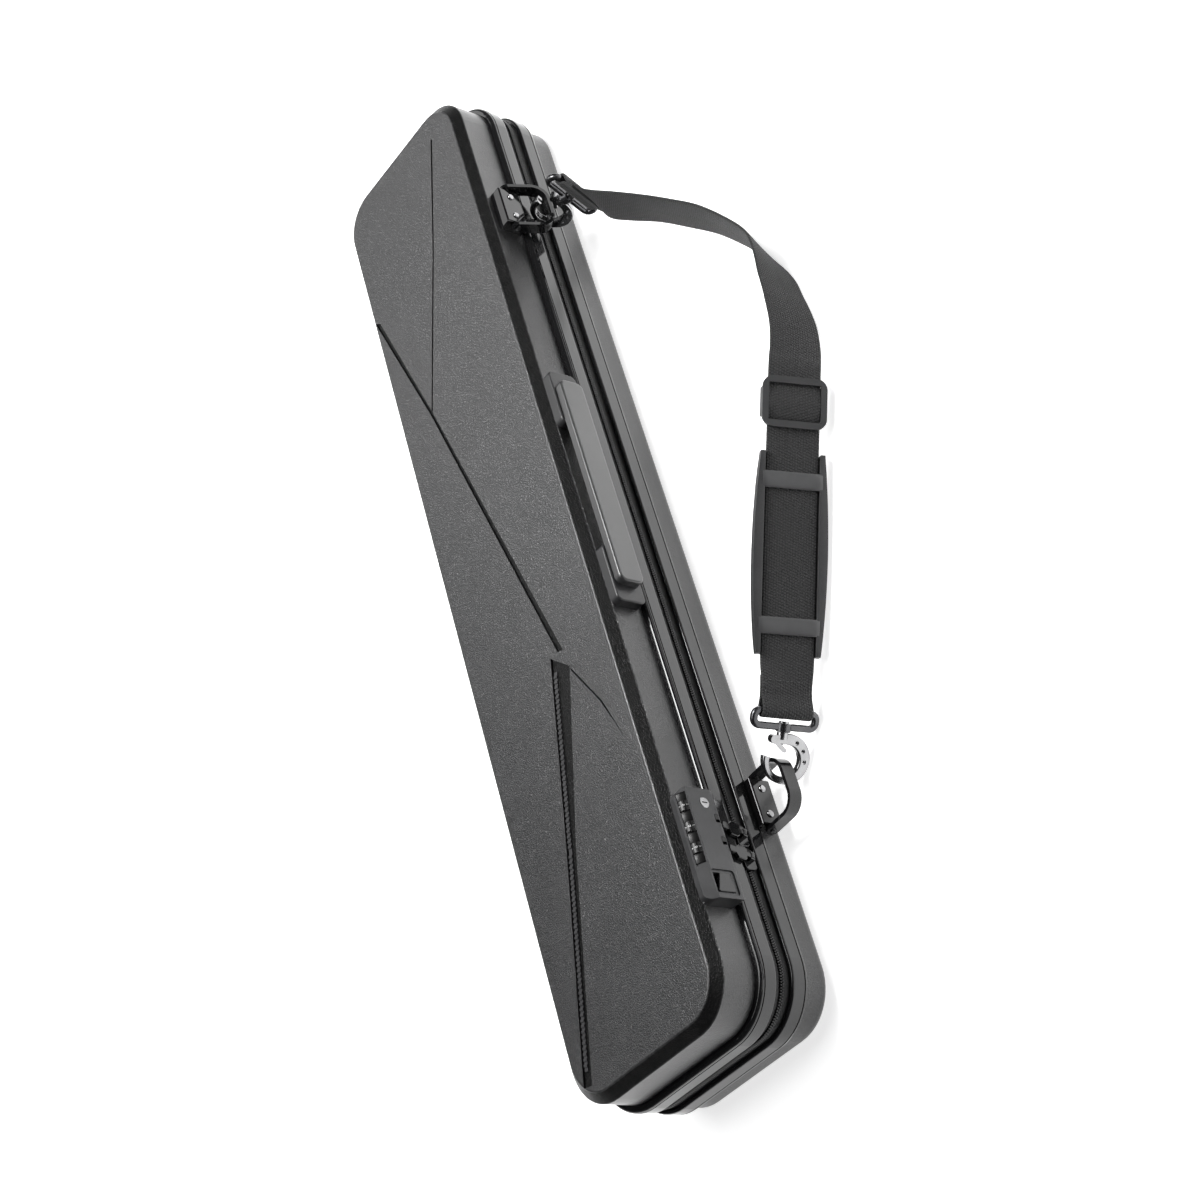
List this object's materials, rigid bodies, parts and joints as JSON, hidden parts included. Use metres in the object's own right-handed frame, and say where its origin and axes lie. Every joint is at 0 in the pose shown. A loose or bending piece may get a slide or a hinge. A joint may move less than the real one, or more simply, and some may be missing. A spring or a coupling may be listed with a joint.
{
  "type": "pool cue case",
  "caption": "Long moulded cue case with a zip, a combination lock, a pull-out side handle and a clip-on shoulder strap with adjuster and pad.",
  "frame": {"origin": "plan centre of the case on the table plane, where the back shell lies", "axes": "+X along the case towards the upper strap ring, +Z the lid's normal, -Y the side with lock, handle and strap"},
  "size_m": [0.851, 0.3579, 0.101],
  "materials": {
    "bead_rim": "glossy black moulded bead rim",
    "black_zinc": "glossy black coated zinc",
    "bracket_grey": "satin grey moulded bracket",
    "bright_steel": "bright nickel-plated steel",
    "charcoal_shell": "satin charcoal moulded shell with a fine leather grain",
    "dark_gloss": "glossy black moulded button",
    "dial_black": "dark moulded dial with pale numbers",
    "foam": "charcoal cloth-covered foam",
    "grip_grey": "satin light grey moulded grip",
    "gunmetal": "gunmetal-plated zinc",
    "hinge_fabric": "heavy black woven hinge tape",
    "inner_strap": "black elastic webbing",
    "ring_black": "glossy black enamelled band",
    "satin_grey": "satin mid-grey painted die casting",
    "soft_black": "satin black moulded plastic",
    "steel": "plain steel",
    "trim_black": "dark ribbed trim",
    "webbing": "matt black woven webbing",
    "zip_coil": "black nylon zip coil",
    "zip_fabric": "matt black woven zip tape"
  },
  "bodies": {
    "base": {"base_shell": "charcoal_shell", "base_rim": "bead_rim", "base_zip_tape": "zip_fabric", "base_zip_coil": "zip_coil", "hinge_tape_base": "hinge_fabric", "base_insert": "foam", "cue_straps": "inner_strap", "lower_ring_block": "ring_black", "lower_ring_pins": "bright_steel", "lower_ring_rivets": "bright_steel", "lower_hook_loop": "gunmetal", "strap_lower": "webbing", "strap_adjuster": "soft_black", "shoulder_pad": "soft_black"},
    "lid": {"lid_shell": "charcoal_shell", "panel_trim": "trim_black", "lid_rim": "bead_rim", "lid_zip_tape": "zip_fabric", "lid_zip_coil": "zip_coil", "hinge_tape_lid": "hinge_fabric", "lid_insert": "foam", "lock_housing": "satin_grey", "lock_back_plate": "steel", "dial_axle": "steel", "button_spring": "steel", "lock_screws": "steel", "handle_bracket_upper": "bracket_grey", "handle_bracket_lower": "bracket_grey", "handle_screws": "steel", "upper_ring_block": "ring_black", "upper_ring_pins": "bright_steel", "upper_ring_rivets": "bright_steel", "upper_hook_loop": "gunmetal", "strap_upper": "webbing"},
    "dial_1": {"number_dial_1": "dial_black"},
    "dial_2": {"number_dial_2": "dial_black"},
    "dial_3": {"number_dial_3": "dial_black"},
    "key": {"key_plug": "bright_steel"},
    "button": {"release_button": "dark_gloss"},
    "catch": {"catch_bar": "soft_black"},
    "handle": {"handle_grip": "grip_grey"},
    "slider_1": {"zip_slider_1": "black_zinc"},
    "slider_2": {"zip_slider_2": "black_zinc"},
    "puller_1": {"zip_puller_1": "black_zinc"},
    "puller_2": {"zip_puller_2": "black_zinc"},
    "upper_ring": {"upper_ring_loop": "ring_black"},
    "lower_ring": {"lower_ring_loop": "ring_black"},
    "upper_hook": {"upper_hook_body": "bright_steel"},
    "lower_hook": {"lower_hook_body": "bright_steel"},
    "upper_gate": {"upper_hook_gate": "bright_steel"},
    "lower_gate": {"lower_hook_gate": "bright_steel"}
  },
  "joints": [
    {"name": "lid_hinge", "type": "hinge", "parent": "base", "child": "lid", "pos_m": [0, 0.086, 0.0462], "axis": [-1, 0, 0], "range_deg": [0, 110]},
    {"name": "dial_1_turn", "type": "hinge", "parent": "lid", "child": "dial_1", "pos_m": [-0.275, -0.08948, 0.09114], "axis": [1, 0, 0], "continuous": true},
    {"name": "dial_2_turn", "type": "hinge", "parent": "lid", "child": "dial_2", "pos_m": [-0.291, -0.08948, 0.09114], "axis": [1, 0, 0], "continuous": true},
    {"name": "dial_3_turn", "type": "hinge", "parent": "lid", "child": "dial_3", "pos_m": [-0.307, -0.08948, 0.09114], "axis": [1, 0, 0], "continuous": true},
    {"name": "key_turn", "type": "hinge", "parent": "lid", "child": "key", "pos_m": [-0.273, -0.092, 0.0786], "axis": [0, 1, 0], "range_deg": [0, 90]},
    {"name": "release_press", "type": "slide", "parent": "lid", "child": "button", "axis": [0, 1, 0], "range_m": [0, 0.002], "stiffness_N_per_m": 300},
    {"name": "catch_slide", "type": "slide", "parent": "lid", "child": "catch", "axis": [-1, 0, 0], "range_m": [0, 0.002]},
    {"name": "handle_slide", "type": "slide", "parent": "lid", "child": "handle", "axis": [0, -1, 0], "range_m": [0, 0.01]},
    {"name": "slider_1_slide", "type": "slide", "parent": "base", "child": "slider_1", "axis": [1, 0, 0], "range_m": [0, 0.52]},
    {"name": "slider_2_slide", "type": "slide", "parent": "base", "child": "slider_2", "axis": [-1, 0, 0], "range_m": [0, 0.06]},
    {"name": "puller_1_swing", "type": "hinge", "parent": "slider_1", "child": "puller_1", "pos_m": [-0.291, -0.0916, 0.0462], "axis": [0.9563, 0, -0.2924], "range_deg": [0, 100]},
    {"name": "puller_2_swing", "type": "hinge", "parent": "slider_2", "child": "puller_2", "pos_m": [-0.309, -0.0916, 0.0462], "axis": [0.9563, 0, -0.2924], "range_deg": [0, 100]},
    {"name": "upper_ring_swing", "type": "hinge", "parent": "lid", "child": "upper_ring", "pos_m": [0.278, -0.0925, 0.08], "axis": [1, 0, 0], "range_deg": [-2.5, 2.5]},
    {"name": "upper_hook_swivel", "type": "hinge", "parent": "lid", "child": "upper_hook", "pos_m": [0.2644, -0.1384, 0.0521], "axis": [0.2925, 0.9497, 0.1116], "range_deg": [-4, 2]},
    {"name": "upper_gate_swing", "type": "hinge", "parent": "upper_hook", "child": "upper_gate", "pos_m": [0.27148, -0.12129, 0.05995], "axis": [-0.9247, 0.2511, 0.2861], "range_deg": [-70, 0]},
    {"name": "lower_ring_swing", "type": "hinge", "parent": "base", "child": "lower_ring", "pos_m": [-0.264, -0.0925, 0.018], "axis": [1, 0, 0], "range_deg": [-4, 4]},
    {"name": "lower_hook_swivel", "type": "hinge", "parent": "base", "child": "lower_hook", "pos_m": [-0.2232, -0.1441, 0.0257], "axis": [-0.7321, 0.6748, -0.0934], "range_deg": [-8, 8]},
    {"name": "lower_gate_swing", "type": "hinge", "parent": "lower_hook", "child": "lower_gate", "pos_m": [-0.2365, -0.12953, 0.02964], "axis": [-0.6695, -0.6872, 0.282], "range_deg": [-70, 0]}
  ],
  "couplings": [
    {"joint": "catch_slide", "follows": "release_press", "ratio": 1}
  ]
}
